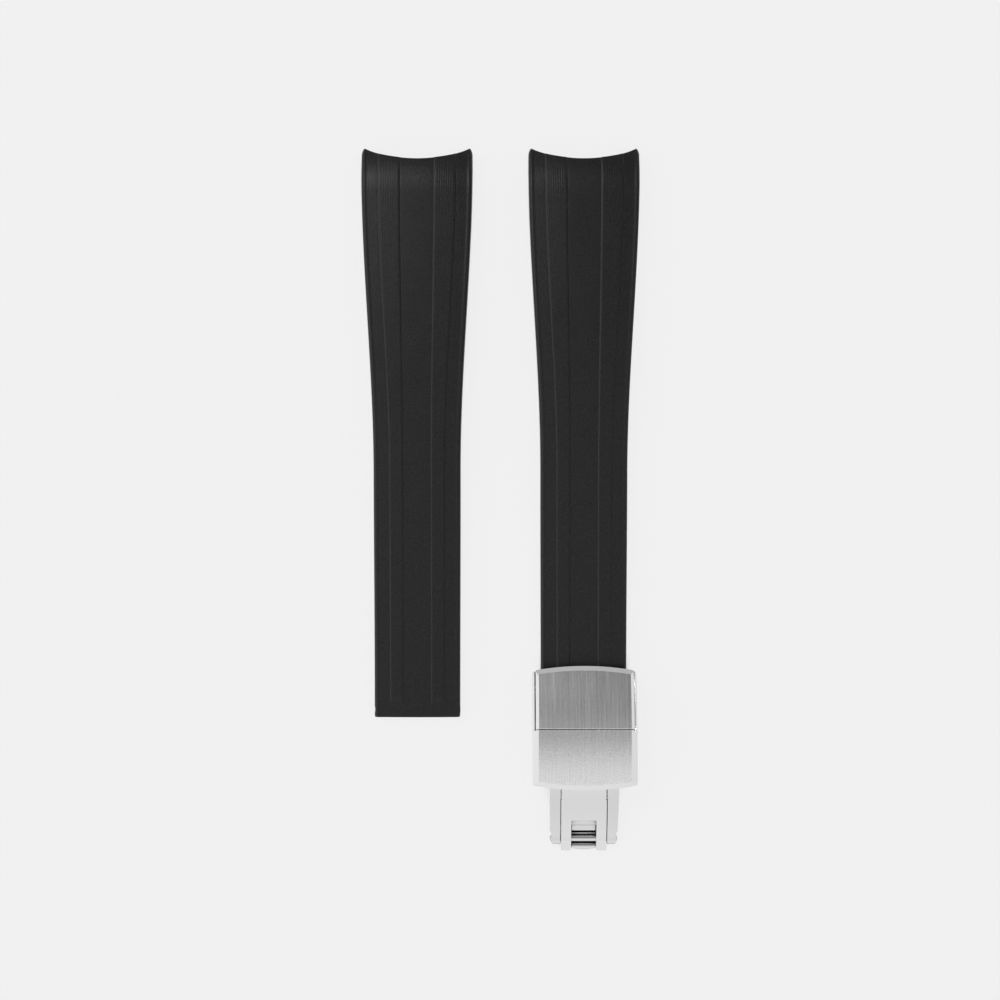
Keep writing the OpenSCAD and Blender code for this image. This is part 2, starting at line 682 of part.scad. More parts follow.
strap_half_loose();
strap_half_clasp();
lower_leaf();
upper_leaf();
fold_pin();
clasp_cover();
cover_pin();
lock_lever();
lever_pin();
catch_stud_left();
catch_stud_right();
clasp_bar_tube();
clasp_bar_spring();
clasp_bar_plunger_left();
clasp_bar_plunger_right();
cover_bar_tube();
cover_bar_spring();
cover_bar_plunger_left();
cover_bar_plunger_right();
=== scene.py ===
"""Looks of a two-part rubber watch strap with a folding steel clasp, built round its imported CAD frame.

Everything is in metres in the frame of the CAD model: +Y towards the watch ends, +Z up from the table.
"""

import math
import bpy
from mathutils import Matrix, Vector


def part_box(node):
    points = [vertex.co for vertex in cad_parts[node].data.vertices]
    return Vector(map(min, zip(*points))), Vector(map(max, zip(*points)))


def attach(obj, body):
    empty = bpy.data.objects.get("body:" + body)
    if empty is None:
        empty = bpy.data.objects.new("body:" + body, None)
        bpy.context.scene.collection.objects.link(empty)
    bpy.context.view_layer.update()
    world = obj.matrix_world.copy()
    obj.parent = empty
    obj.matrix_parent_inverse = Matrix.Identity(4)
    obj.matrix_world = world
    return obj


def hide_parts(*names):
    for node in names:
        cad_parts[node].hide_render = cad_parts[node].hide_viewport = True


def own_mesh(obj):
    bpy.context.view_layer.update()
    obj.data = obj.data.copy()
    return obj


bl_info = {
    "name": "Rubber Watch Strap",
    "version": (1, 0, 0),
    "blender": (4, 5, 0),
    "location": "3D View > Sidebar > Strap",
    "description": "Rubber halves, folding clasp and photo stage of a two-part watch strap",
    "category": "Add Mesh",
}

import bmesh
import bpy
from bpy.props import FloatProperty, FloatVectorProperty, IntProperty, PointerProperty
from bpy.types import Operator, Panel, PropertyGroup
from mathutils import Matrix, Vector

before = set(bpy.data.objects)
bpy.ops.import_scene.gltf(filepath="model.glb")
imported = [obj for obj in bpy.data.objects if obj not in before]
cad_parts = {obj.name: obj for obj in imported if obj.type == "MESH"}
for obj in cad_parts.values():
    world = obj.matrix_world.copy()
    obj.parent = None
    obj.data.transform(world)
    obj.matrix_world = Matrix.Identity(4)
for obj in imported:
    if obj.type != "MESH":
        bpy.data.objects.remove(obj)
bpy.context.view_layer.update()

MM = 0.001

# Layout of the CAD model, in metres: the tips of both halves, their centre lines, and the arc of the clasp
TIP_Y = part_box("strap_half_loose")[1].y
LOOSE_X = sum(corner.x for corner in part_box("strap_half_loose")) / 2
CLASP_X = sum(corner.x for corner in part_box("strap_half_clasp")) / 2
ARC_Y = -47.7 * MM
ARC_Z = -39.7983 * MM
TOP_RADIUS = 48 * MM

# Strap bars: the spring's wire
WIRE = 0.18 * MM

# Angles between faces: from the first a metal edge shows as a crease, from the second it is broken, from the
# third an edge of the rubber is sharp, and under the last, metal faces count as one flat face
CREASE = math.radians(16)
BREAK = math.radians(28)
RUBBER_CREASE = math.radians(50)
FLAT = math.radians(0.3)

# Vertices of a CAD mesh that lie closer than this are one
MERGE = 0.001 * MM

# Stage: half the width of the card, how far it lies under the strap, and the soft box
CARD_HALF = 2
CARD_DROP = 0.02 * MM
KEY_SIZE = (0.36, 0.3)
KEY_PLACE = (-0.45, 0.62, 1.13)
KEY_AIM = (0, 0.03, 0)

# Noise lies mostly between these two levels, which the patterns stretch to their full range
NOISE_LOW = 0.3
NOISE_HIGH = 0.7


def linear(code):
    """The linear RGB of an sRGB hex code such as "#D2D2CF"."""
    parts = [int(code[i:i + 2], 16) / 255 for i in (1, 3, 5)]
    return tuple(p / 12.92 if p <= 0.04045 else ((p + 0.055) / 1.055) ** 2.4 for p in parts)


def ease(s):
    """Smooth step from 0 to 1."""
    c = min(max(s, 0.0), 1.0)
    return c * c * (3 - 2 * c)


def mix(a, b, s):
    """The value a share s of the way from a to b."""
    return a + (b - a) * s


# Settings that a user would change


class RubberSettings(PropertyGroup):
    lug_width: FloatProperty(
        name="Lug Width", description="Width of the rubber at the watch", default=20 * MM, unit="LENGTH")
    waist_width: FloatProperty(
        name="Waist Width", description="Width where the taper ends", default=15.7 * MM, unit="LENGTH")
    tail_width: FloatProperty(
        name="Tail Width", description="Width at the square tail", default=15.5 * MM, unit="LENGTH")
    loose_length: FloatProperty(
        name="Loose Half", description="Length of the loose half", default=102.8 * MM, unit="LENGTH")
    clasp_length: FloatProperty(
        name="Clasp Half", description="Length of the half in the clasp", default=99.6 * MM, unit="LENGTH")
    stripe_height: FloatProperty(
        name="Stripe Height", description="Height of the raised stripes", default=0.18 * MM, unit="LENGTH")
    rib_height: FloatProperty(
        name="Rib Height", description="Height of the fine ribs on the stripes", default=0.011 * MM,
        unit="LENGTH")
    ribs: IntProperty(
        name="Ribs", description="Number of fine ribs on each stripe", default=8, min=3, max=16)
    grain: FloatProperty(
        name="Grain", description="Size of the moulded grain", default=0.22 * MM, unit="LENGTH")
    colour: FloatVectorProperty(
        name="Rubber", description="Colour of the rubber", default=linear("#0F0F0F"), size=3, subtype="COLOR")


class ClaspSettings(PropertyGroup):
    edge_break: FloatProperty(
        name="Edge Break", description="Radius of the broken metal edges", default=0.05 * MM, unit="LENGTH")
    brush_pitch: FloatProperty(
        name="Brush Pitch", description="Spacing of the brushed lines", default=0.2 * MM, unit="LENGTH")
    coil_turns: IntProperty(
        name="Coil Turns", description="Turns of each strap bar's spring", default=12, min=6, max=16)
    blade_colour: FloatVectorProperty(
        name="Blade Steel", description="Colour of the upper leaf", default=linear("#D4D4D4"), size=3,
        subtype="COLOR")
    rail_colour: FloatVectorProperty(
        name="Rail Steel", description="Colour of the lower leaf", default=linear("#CECECE"), size=3,
        subtype="COLOR")
    cover_colour: FloatVectorProperty(
        name="Brushed Steel", description="Colour of the cover and lever", default=linear("#D2D2D2"), size=3,
        subtype="COLOR")
    pin_colour: FloatVectorProperty(
        name="Turned Steel", description="Colour of pins and bars", default=linear("#D0D0D0"), size=3,
        subtype="COLOR")
    wire_colour: FloatVectorProperty(
        name="Spring Wire", description="Colour of the springs", default=linear("#A9A9A9"), size=3,
        subtype="COLOR")


class StageSettings(PropertyGroup):
    camera_height: FloatProperty(
        name="Camera Height", description="Height of the lens above the table", default=300 * MM,
        unit="LENGTH")
    camera_x: FloatProperty(
        name="Camera Offset", description="Offset of the lens along X", default=-0.09 * MM, unit="LENGTH")
    lens: FloatProperty(
        name="Lens", description="Focal length on a 36 mm sensor", default=59.24, unit="CAMERA")
    floor_colour: FloatVectorProperty(
        name="Floor", description="Colour of the paper under the strap", default=linear("#F0F0F0"), size=3,
        subtype="COLOR")
    key_power: FloatProperty(
        name="Key Light", description="Power of the soft box at the upper left", default=5.4, unit="POWER")


# Shader helpers


def add_node(tree, kind, inputs=(), **settings):
    """Adds one node with its settings, and gives its inputs their values or links."""
    node = tree.nodes.new(kind)
    for name, value in settings.items():
        setattr(node, name, value)
    for key, value in dict(inputs).items():
        socket = node.inputs[key]
        if isinstance(value, bpy.types.NodeSocket):
            tree.links.new(value, socket)
        elif isinstance(value, tuple) and len(value) == 3 and socket.type == "RGBA":
            socket.default_value = (*value, 1)
        else:
            socket.default_value = value
    return node


def noise(tree, place, size, detail=2.0, roughness=0.5):
    """The level of a noise whose grains are this size."""
    node = add_node(tree, "ShaderNodeTexNoise", {"Vector": place, "Scale": 1 / size, "Detail": detail,
                                                 "Roughness": roughness})
    return node.outputs["Fac"]


def stretched(tree, place, scale):
    """Object coordinates scaled along each axis: a low scale draws a noise out into lines."""
    return add_node(tree, "ShaderNodeMapping", {"Vector": place, "Scale": scale}).outputs["Vector"]


def ramped(tree, value, low, high, to_low=0.0, to_high=1.0):
    """A value brought from one range to another, and held at its ends."""
    node = add_node(tree, "ShaderNodeMapRange", {"Value": value, "From Min": low, "From Max": high,
                                                 "To Min": to_low, "To Max": to_high})
    return node.outputs["Result"]


def reckoned(tree, operation, a, b):
    """The value of a sum, product or other operation on two values."""
    return add_node(tree, "ShaderNodeMath", {0: a, 1: b}, operation=operation).outputs["Value"]


def mixed(tree, factor, a, b, data_type="RGBA"):
    """A mix of two colours, or of two values with the data type FLOAT."""
    node = add_node(tree, "ShaderNodeMix", {"Factor": factor, "A": a, "B": b}, data_type=data_type)
    return node.outputs["Result"]


def scaled(tree, vector, scale):
    """A vector or colour times a value."""
    node = add_node(tree, "ShaderNodeVectorMath", {0: vector, "Scale": scale}, operation="SCALE")
    return node.outputs["Vector"]


def bumped(tree, height, strength, distance):
    """The normal of a surface with this relief."""
    node = add_node(tree, "ShaderNodeBump", {"Height": height, "Strength": strength, "Distance": distance})
    return node.outputs["Normal"]


def mixed_shader(tree, factor, a, b):
    """A mix of two shaders."""
    return add_node(tree, "ShaderNodeMixShader", {0: factor, 1: a, 2: b}).outputs["Shader"]


def openness(tree, reach):
    """How much of the sky a point sees within a reach: 1 in the open, 0 in a slit."""
    return add_node(tree, "ShaderNodeAmbientOcclusion", {"Distance": reach}, samples=8).outputs["AO"]


def new_material(name):
    """An empty node material, its tree, and the Object coordinates that its patterns read."""
    material = bpy.data.materials.new(name)
    material.use_nodes = True
    tree = material.node_tree
    tree.nodes.clear()
    return material, tree, add_node(tree, "ShaderNodeTexCoord").outputs["Object"]


def put_out(tree, kind, shader):
    """Links a shader to the output of a material or of the world."""
    add_node(tree, kind, {"Surface": shader})


def principled(tree, inputs):
    """Ends a material in a Principled shader."""
    shader = add_node(tree, "ShaderNodeBsdfPrincipled", inputs).outputs["BSDF"]
    put_out(tree, "ShaderNodeOutputMaterial", shader)


def moulded_rubber(colour, grain):
    """FKM rubber from a spark-eroded mould: near black, with a fine grain that breaks up its soft sheen."""
    material, tree, place = new_material("moulded_rubber")
    fine = noise(tree, place, grain, detail=3.0, roughness=0.6)
    light = tuple(c * 2 for c in colour)
    # Broad clouds 6 mm across, such as handling leaves on rubber
    cloud = noise(tree, place, 6 * MM)
    principled(tree, {
        "Base Color": mixed(tree, ramped(tree, fine, 0.36, 0.64), (0.0, 0.0, 0.0), light),
        "Roughness": ramped(tree, cloud, NOISE_LOW, NOISE_HIGH, 0.32, 0.38), "IOR": 1.5,
        "Specular IOR Level": 0.27, "Normal": bumped(tree, fine, 1.0, 0.035 * MM)})
    return material


def painted_slit_shade(tree, colour, reach):
    """A steel's colour with painted shade: it goes dark in slits and deep corners, by how little of the sky a
    point sees.
    """
    return mixed(tree, ramped(tree, openness(tree, reach), 0.2, 0.65, 0.08, 1.0), (0.0, 0.0, 0.0), colour)


def steel(tree, colour, roughness, normal):
    """Ends a material in bare steel."""
    principled(tree, {"Base Color": colour, "Metallic": 1.0, "Roughness": roughness, "Normal": normal})


def polished_steel(name, colour):
    """316L steel buffed bright: clean reflections, softened by faint hairlines from wear."""
    material, tree, place = new_material(name)
    # Hairlines 0.12 mm apart, drawn coarser than real ones so that they show
    hair = noise(tree, stretched(tree, place, (1.0, 0.08, 1.0)), 0.12 * MM)
    smear = noise(tree, place, 2.5 * MM, detail=3.0)
    # Painted shade: the colour goes dark in slits and deep corners
    steel(tree, painted_slit_shade(tree, colour, 2 * MM), ramped(tree, smear, NOISE_LOW, NOISE_HIGH, 0.14, 0.2),
          bumped(tree, hair, 0.1, 0.004 * MM))
    return material


def on_top_face(tree, place):
    """1 on the clasp's top face, which lies on the outer radius of its arc, and 0 on bevels and sides."""
    centred = add_node(tree, "ShaderNodeVectorMath", {0: place, 1: (0.0, ARC_Y, ARC_Z)}, operation="SUBTRACT")
    flat = add_node(tree, "ShaderNodeVectorMath", {0: centred.outputs["Vector"], 1: (0.0, 1.0, 1.0)},
                    operation="MULTIPLY")
    radius = add_node(tree, "ShaderNodeVectorMath", {0: flat.outputs["Vector"]}, operation="LENGTH")
    return ramped(tree, radius.outputs["Value"], TOP_RADIUS - 0.04 * MM, TOP_RADIUS - 0.02 * MM)


def brushed_steel(name, colour, pitch, streaks, speckle):
    """316L steel brushed along the strap on its top face, with bevels and sides polished bright."""
    material, tree, place = new_material(name)
    face = on_top_face(tree, place)
    # Lines about 13 mm long run along the strap, over a blasted ground; both are coarser than real ones so
    # that they show
    lines = noise(tree, stretched(tree, place, (1.0, 0.015, 0.015)), pitch, detail=3.0, roughness=0.7)
    grit = noise(tree, place, pitch, detail=3.0, roughness=0.6)
    line_tone = ramped(tree, lines, 0.0, 1.0, -streaks / 2, streaks / 2)
    grit_tone = ramped(tree, grit, 0.0, 1.0, 1 - speckle / 2, 1 + speckle / 2)
    tone = mixed(tree, face, 1.0, reckoned(tree, "ADD", line_tone, grit_tone), "FLOAT")
    gloss = ramped(tree, lines, NOISE_LOW, NOISE_HIGH, 0.22, 0.26)
    relief = reckoned(tree, "MULTIPLY", lines, face)
    # Painted shade: the colour goes dark in the slits round the lever and in deep corners
    steel(tree, scaled(tree, painted_slit_shade(tree, colour, 1 * MM), tone),
          mixed(tree, face, 0.08, gloss, "FLOAT"), bumped(tree, relief, 0.1, 0.01 * MM))
    return material


def turned_steel(colour):
    """Steel turned on a lathe: bright, with fine rings round the axis that catch the light."""
    material, tree, place = new_material("turned_316l_steel")
    rings = noise(tree, stretched(tree, place, (1.0, 0.03, 0.03)), 0.08 * MM)
    # Painted shade: the colour goes dark in slits and deep corners
    steel(tree, painted_slit_shade(tree, colour, 1.5 * MM), ramped(tree, rings, NOISE_LOW, NOISE_HIGH, 0.12, 0.22),
          bumped(tree, rings, 0.2, 0.004 * MM))
    return material


def drawn_wire(colour):
    """Drawn spring steel: grey, with streaks along the wire from the die."""
    material, tree, place = new_material("drawn_spring_wire")
    streak = noise(tree, place, 0.05 * MM)
    principled(tree, {"Base Color": colour, "Metallic": 1.0,
                      "Roughness": ramped(tree, streak, NOISE_LOW, NOISE_HIGH, 0.25, 0.4)})
    return material


# Mesh helpers


def finished_piece(name, bm, material, nodes, body):
    """Makes the bmesh a smooth piece that rides on a body and stands for its CAD nodes."""
    mesh = bpy.data.meshes.new(name)
    bm.to_mesh(mesh)
    bm.free()
    piece = bpy.data.objects.new(name, mesh)
    bpy.context.scene.collection.objects.link(piece)
    mesh.shade_smooth()
    mesh.materials.append(material)
    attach(piece, body)
    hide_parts(*nodes)
    return piece


def break_edges(piece, radius):
    """Rounds the sharp metal edges a little and keeps the large faces flat to the eye."""
    bevel = piece.modifiers.new("edge_break", "BEVEL")
    bevel.width = radius
    bevel.segments = 2
    bevel.limit_method = "ANGLE"
    bevel.angle_limit = BREAK
    bevel.use_clamp_overlap = False
    weighted = piece.modifiers.new("flat_faces", "WEIGHTED_NORMAL")
    weighted.keep_sharp = True


def metal_copy(name, node, material, body, radius):
    """Makes a merged copy of a CAD node, with its flat faces joined and its edges broken."""
    bm = bmesh.new()
    bm.from_mesh(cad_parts[node].data)
    bmesh.ops.remove_doubles(bm, verts=bm.verts, dist=MERGE)
    bmesh.ops.dissolve_limit(bm, angle_limit=FLAT, verts=bm.verts, edges=bm.edges)
    # The creases of the polished bevels are too shallow for the edge break, and stay crisp
    for edge in bm.edges:
        edge.smooth = not edge.is_manifold or edge.calc_face_angle() < CREASE
    break_edges(finished_piece(name, bm, material, [node], body), radius)


# Rubber halves


class RubberHalf:
    """Form of one half at the distance t from its tips: the CAD model's, with a finer cross-section."""

    # Where the taper starts and ends and where the crown of the arch ends, and how far the nose goes back and
    # down
    taper_t = 3 * MM
    waist_t = 58 * MM
    arch_t = 24 * MM
    nose = 8 * MM
    nose_drop = 1.9 * MM

    # Thickness at the tail and the crown, rise of the arch, and how much lower the edges lie than the middle
    tail_thick = 2.5 * MM
    crown_thick = 3.1 * MM
    arch_rise = 2 * MM
    camber = 0.28 * MM

    # Rounded tips and tail corners: how far in and over what length
    tip_round = 0.36 * MM
    tip_round_t = 1.2 * MM
    tail_round = 0.12 * MM
    tail_round_t = 0.25 * MM

    # Half the width of the panel, and the width of a band, at the watch end and at the tail
    panel_lug = 3.04 * MM
    panel_tail = 2.5 * MM
    band_lug = 2.92 * MM
    band_tail = 2.84 * MM

    # Sides of the stripes, and the crease at their foot
    side_w = 0.38 * MM
    crease_w = 0.1 * MM
    crease_d = 0.008 * MM

    # Heights of stripes, creases and ribs where the taper ends, as shares of those at the watch end
    stripe_share = 1.15
    crease_share = 0.35
    rib_share = 0.5

    # Where the stripes stop before the tail, and how long their ends are
    stripe_stop = 2.7 * MM
    stripe_end = 0.12 * MM

    # Lip along the edge: its width, the lean it starts with and the depth it rolls over; and the rounded foot
    # of the side
    lip = 0.78 * MM
    lip_lean = math.radians(20)
    side_z = 0.6 * MM
    foot = 0.35 * MM

    # Rounding of both ends, and the concave end that fits the watch case: its depth, radius and reach
    edge_r = 0.13 * MM
    case_dip = 2 * MM
    case_r = 23.5 * MM
    dip_t = 8 * MM

    # Bores along X: radius, distance from the end and height
    lug_bore = (0.9 * MM, 4 * MM, 2.15 * MM)
    tail_bore = (0.79 * MM, 1.4 * MM, 1.25 * MM)

    # Stretches across half the width from the middle outwards, with their number of faces
    stretches = (("panel", 6), ("inner_side", 13), ("stripe", 56), ("outer_side", 13), ("band", 6),
                 ("lip", 14))

    def __init__(self, settings, length):
        self.s = settings
        self.length = length

    def taper(self, t):
        """0 at the watch end, 1 where the taper is over."""
        return ease((t - self.taper_t) / (self.waist_t - self.taper_t))

    def half_width(self, t):
        """Half the width, less the rounding of tips and tail corners."""
        width = mix(self.s.lug_width, self.s.waist_width, self.taper(t))
        width = mix(width, self.s.tail_width, ease((t - self.waist_t) / (self.length - self.waist_t)))
        tips = self.tip_round * max(0, 1 - t / self.tip_round_t) ** 2
        corner = self.tail_round * max(0, 1 - (self.length - t) / self.tail_round_t) ** 2
        return width / 2 - tips - corner

    def arch(self, t):
        """1 from the tips to the crown, 0 at the tail."""
        return ease((self.length - t) / (self.length - self.arch_t))

    def top(self, t):
        """Height of the top on the centre line."""
        rise = self.arch_rise + self.crown_thick - self.tail_thick
        return self.tail_thick + rise * self.arch(t) - self.nose_drop * max(0, 1 - t / self.nose) ** 2

    def under(self, t):
        """Height of the underside."""
        if t > self.arch_t:
            return self.arch_rise * self.arch(t)
        return self.arch_rise * ease((t - self.nose) / (self.arch_t - self.nose))

    def relief_left(self, t):
        """1 along the stripes, 0 on the plain tail."""
        return 1 - ease((t - (self.length - self.stripe_stop)) / self.stripe_end)

    def stripe_side(self, d, s):
        """Height of a stripe's side at the distance d from its foot: a crease, then a rounded rise."""
        rise = 1 - (1 - min(max(d / self.side_w, 0), 1)) ** 3
        dent = (1 + math.cos(math.pi * min(abs(d) / self.crease_w, 1))) / 2
        height = self.s.stripe_height * mix(1, self.stripe_share, s)
        return height * rise - self.crease_d * mix(1, self.crease_share, s) * dent

    def across(self, stretch, part, t):
        """Distance from the centre line and height over the top, for a place in the cross-section."""
        w = self.half_width(t)
        s = self.taper(t)
        panel = mix(self.panel_lug, self.panel_tail, s)
        outer = w - mix(self.band_lug, self.band_tail, s)
        left = self.relief_left(t)
        if stretch == "panel":
            return (panel - self.crease_w) * part, 0
        if stretch == "inner_side":
            d = mix(-self.crease_w, self.side_w, part)
            return panel + d, left * self.stripe_side(d, s)
        if stretch == "stripe":
            rib = self.s.rib_height * mix(1, self.rib_share, s)
            wave = (1 - math.cos(2 * math.pi * self.s.ribs * part)) / 2
            x = mix(panel + self.side_w, outer - self.side_w, part)
            return x, left * (self.stripe_side(self.side_w, s) + rib * wave)
        if stretch == "outer_side":
            d = mix(self.side_w, -self.crease_w, part)
            return outer - d, left * self.stripe_side(d, s)
        if stretch == "band":
            return mix(outer + self.crease_w, w - self.lip, part), 0
        # The lip is a low bead that rises from the band and rolls over into the side
        turn = mix(-self.lip_lean, math.pi / 2, part)
        inward = (1 - math.sin(turn)) / (1 + math.sin(self.lip_lean))
        up = math.cos(turn) / math.cos(self.lip_lean)
        return w - self.lip * inward, self.side_z * (up - 1)

    def dip(self, x):
        """How far the concave end has drawn back at x."""
        return max(0, self.case_dip - (self.case_r - math.sqrt(self.case_r ** 2 - x ** 2)))

    def place(self, side, stretch, part, row):
        """A point of the top, and the height of the underside below it. row is the distance from the end."""
        x = self.across(stretch, part, row)[0]
        t = row + self.dip(x) * max(0, 1 - row / self.dip_t) ** 2
        x, z = self.across(stretch, part, t)
        w = self.half_width(t)
        near_end = min(row, self.length - row)
        turned = max(0, 1 - near_end / self.edge_r)
        end_drop = self.edge_r * (1 - math.sqrt(1 - turned ** 2))
        height = self.top(t) + z - self.camber * (x / w) ** 2 - end_drop
        foot = max(0, (x - (w - self.foot)) / self.foot)
        under = self.under(t) + self.foot * (1 - math.sqrt(max(0, 1 - foot ** 2))) + 0.5 * end_drop
        return Vector((side * x, TIP_Y - t, height)), under

    def columns(self):
        """Places across the top from edge to edge: side, stretch and part of the stretch."""
        half = [(stretch, (k + 1) / count) for stretch, count in self.stretches for k in range(count)]
        return [(-1, *c) for c in reversed(half)] + [(1, "panel", 0)] + [(1, *c) for c in half]

    def rows(self):
        """Distances from the concave end: close together where the form turns."""
        ends = [self.edge_r * (1 - math.cos(math.radians(a))) for a in (0, 18, 36, 54, 72, 90)]
        stop = self.length - self.stripe_stop
        spans = ((self.edge_r, self.dip_t, 18), (self.dip_t, self.waist_t, 48), (self.waist_t, stop, 34),
                 (stop, stop + self.stripe_end, 6), (stop + self.stripe_end, self.length - self.edge_r, 5))
        middle = [mix(a, b, (k + 1) / count) for a, b, count in spans for k in range(count)]
        return ends + middle[:-1] + [self.length - e for e in reversed(ends)]


def bore_cutter(radius, x, y, z):
    """A rod along X that cuts a bore right through a half."""
    bm = bmesh.new()
    bmesh.ops.create_cone(bm, cap_ends=True, segments=64, radius1=radius, radius2=radius, depth=24 * MM)
    bmesh.ops.rotate(bm, verts=bm.verts, cent=(0, 0, 0), matrix=Matrix.Rotation(math.pi / 2, 3, "Y"))
    bmesh.ops.translate(bm, verts=bm.verts, vec=(x, y, z))
    mesh = bpy.data.meshes.new("bore_cutter")
    bm.to_mesh(mesh)
    bm.free()
    cutter = bpy.data.objects.new("bore_cutter", mesh)
    bpy.context.scene.collection.objects.link(cutter)
    return cutter


def cut_bores(piece, cutters):
    """Cuts the bores and keeps the result as the piece's own mesh."""
    for cutter in cutters:
        cut = piece.modifiers.new("bore", "BOOLEAN")
        cut.operation = "DIFFERENCE"
        cut.solver = "EXACT"
        cut.object = cutter
    graph = bpy.context.evaluated_depsgraph_get()
    plain = piece.data
    mesh = bpy.data.meshes.new_from_object(piece.evaluated_get(graph))
    piece.modifiers.clear()
    piece.data = mesh
    mesh.name = piece.name
    bpy.data.meshes.remove(plain)
    for cutter in cutters:
        bpy.data.objects.remove(cutter)
    mesh.shade_smooth()
    mesh.set_sharp_from_angle(angle=RUBBER_CREASE)


def build_rubber_half(name, node, body, x, form, material):
    """The top is a grid that is laid over the cross-sections; the underside is drawn down from it."""
    columns = form.columns()
    rows = form.rows()
    bm = bmesh.new()
    bmesh.ops.create_grid(bm, x_segments=len(columns) - 1, y_segments=len(rows) - 1, size=1)
    under = bm.verts.layers.float.new("under")
    for v in bm.verts:
        column = columns[round((v.co.x + 1) / 2 * (len(columns) - 1))]
        row = rows[round((1 - v.co.y) / 2 * (len(rows) - 1))]
        v.co, v[under] = form.place(*column, row)
        v.co.x += x
    drawn = bmesh.ops.extrude_face_region(bm, geom=bm.faces[:], use_keep_orig=True)["geom"]
    for v in drawn:
        if isinstance(v, bmesh.types.BMVert):
            v.co.z = v[under]
    bmesh.ops.recalc_face_normals(bm, faces=bm.faces)
    bm.verts.layers.float.remove(under)
    piece = finished_piece(name, bm, material, [node], body)
    lug_r, lug_in, lug_z = form.lug_bore
    tail_r, tail_in, tail_z = form.tail_bore
    cut_bores(piece, [bore_cutter(lug_r, x, TIP_Y - lug_in, lug_z),
                      bore_cutter(tail_r, x, TIP_Y - form.length + tail_in, tail_z)])


class STRAP_OT_rubber_halves(Operator):
    """Builds both moulded rubber halves with their stripes, ribs, lips and bores"""

    bl_idname = "strap.rubber_halves"
    bl_label = "Rubber Halves"

    def execute(self, context):
        settings = context.scene.strap_rubber
        rubber = moulded_rubber(tuple(settings.colour), settings.grain)
        build_rubber_half("rubber_half_loose", "strap_half_loose", "loose_half_body", LOOSE_X,
                          RubberHalf(settings, settings.loose_length), rubber)
        build_rubber_half("rubber_half_clasp", "strap_half_clasp", "clasp_half_body", CLASP_X,
                          RubberHalf(settings, settings.clasp_length), rubber)
        return {"FINISHED"}


class STRAP_OT_leaves(Operator):
    """Dresses the two folding leaves in polished steel"""

    bl_idname = "strap.leaves"
    bl_label = "Folding Leaves"

    def execute(self, context):
        settings = context.scene.strap_clasp
        edge = settings.edge_break
        rails = polished_steel("polished_rail_steel", tuple(settings.rail_colour))
        blade = polished_steel("polished_blade_steel", tuple(settings.blade_colour))
        metal_copy("lower_leaf_rails", "lower_leaf", rails, "lower_leaf_body", edge)
        metal_copy("upper_leaf_blade", "upper_leaf", blade, "upper_leaf_body", edge)
        return {"FINISHED"}


class STRAP_OT_cover(Operator):
    """Dresses the clasp's cover and its lock lever in brushed steel with polished bevels"""

    bl_idname = "strap.cover"
    bl_label = "Cover and Lever"

    def execute(self, context):
        settings = context.scene.strap_clasp
        colour = tuple(settings.cover_colour)
        satin = brushed_steel("satin_316l_steel", colour, settings.brush_pitch, streaks=0.25, speckle=0.8)
        brushed = brushed_steel("brushed_316l_steel", colour, settings.brush_pitch, streaks=0.55, speckle=0.5)
        metal_copy("cover_shell", "clasp_cover", satin, "cover_body", settings.edge_break)
        metal_copy("lever_plate", "lock_lever", brushed, "lever_body", settings.edge_break)
        return {"FINISHED"}


class STRAP_OT_pins(Operator):
    """Dresses the hinge pins and catch studs in turned steel"""

    bl_idname = "strap.pins"
    bl_label = "Pins and Studs"

    def execute(self, context):
        settings = context.scene.strap_clasp
        bright = turned_steel(tuple(settings.pin_colour))
        for name, node, body in (
            ("fold_rivet", "fold_pin", "lower_leaf_body"),
            ("stud_left", "catch_stud_left", "lower_leaf_body"),
            ("stud_right", "catch_stud_right", "lower_leaf_body"),
            ("cover_hinge_pin", "cover_pin", "cover_body"),
            ("lever_hinge_pin", "lever_pin", "cover_body"),
        ):
            metal_copy(name, node, bright, body, settings.edge_break)
        return {"FINISHED"}


def build_coil(bar, side, body, turns, material):
    """Spins a ring of wire into one half of a bar's coil, which the plunger at its end presses together."""
    node = f"{bar}_bar_spring"
    low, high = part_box(node)
    centre = (low + high) / 2
    way = -1 if side == "left" else 1
    # Half the turns, with 16 steps to a turn
    steps = 8 * turns
    reach = (high.z - low.z) / 2 - WIRE / 2
    half = (high.x - low.x) / 2
    step = (half - WIRE / 2) / steps
    bm = bmesh.new()
    ring = bmesh.ops.create_circle(bm, cap_ends=True, segments=8, radius=WIRE / 2)["verts"]
    bmesh.ops.rotate(bm, verts=ring, cent=(0, 0, 0), matrix=Matrix.Rotation(math.pi / 2, 3, "X"))
    bmesh.ops.translate(bm, verts=ring, vec=(centre.x, centre.y, centre.z + reach))
    cap = bm.faces[:]
    bmesh.ops.spin(bm, geom=cap, cent=centre, axis=(1, 0, 0), dvec=(way * step, 0, 0),
                   angle=way * math.pi * turns, steps=steps, use_duplicate=False)
    bmesh.ops.recalc_face_normals(bm, faces=bm.faces)
    coil = finished_piece(f"{bar}_bar_coil_{side}", bm, material, [node], body)
    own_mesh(coil)


class STRAP_OT_bars(Operator):
    """Builds the two sprung strap bars: tubes, coils and plungers"""

    bl_idname = "strap.bars"
    bl_label = "Strap Bars"

    def execute(self, context):
        settings = context.scene.strap_clasp
        bright = turned_steel(tuple(settings.pin_colour))
        wire = drawn_wire(tuple(settings.wire_colour))
        for bar, body in (("clasp", "lower_leaf_body"), ("cover", "cover_body")):
            metal_copy(f"{bar}_bar_sleeve", f"{bar}_bar_tube", bright, body, settings.edge_break)
            for side in ("left", "right"):
                build_coil(bar, side, body, settings.coil_turns, wire)
                metal_copy(f"{bar}_bar_tip_{side}", f"{bar}_bar_plunger_{side}", bright,
                           f"{bar}_plunger_{side}_body", settings.edge_break)
        return {"FINISHED"}


# Stage


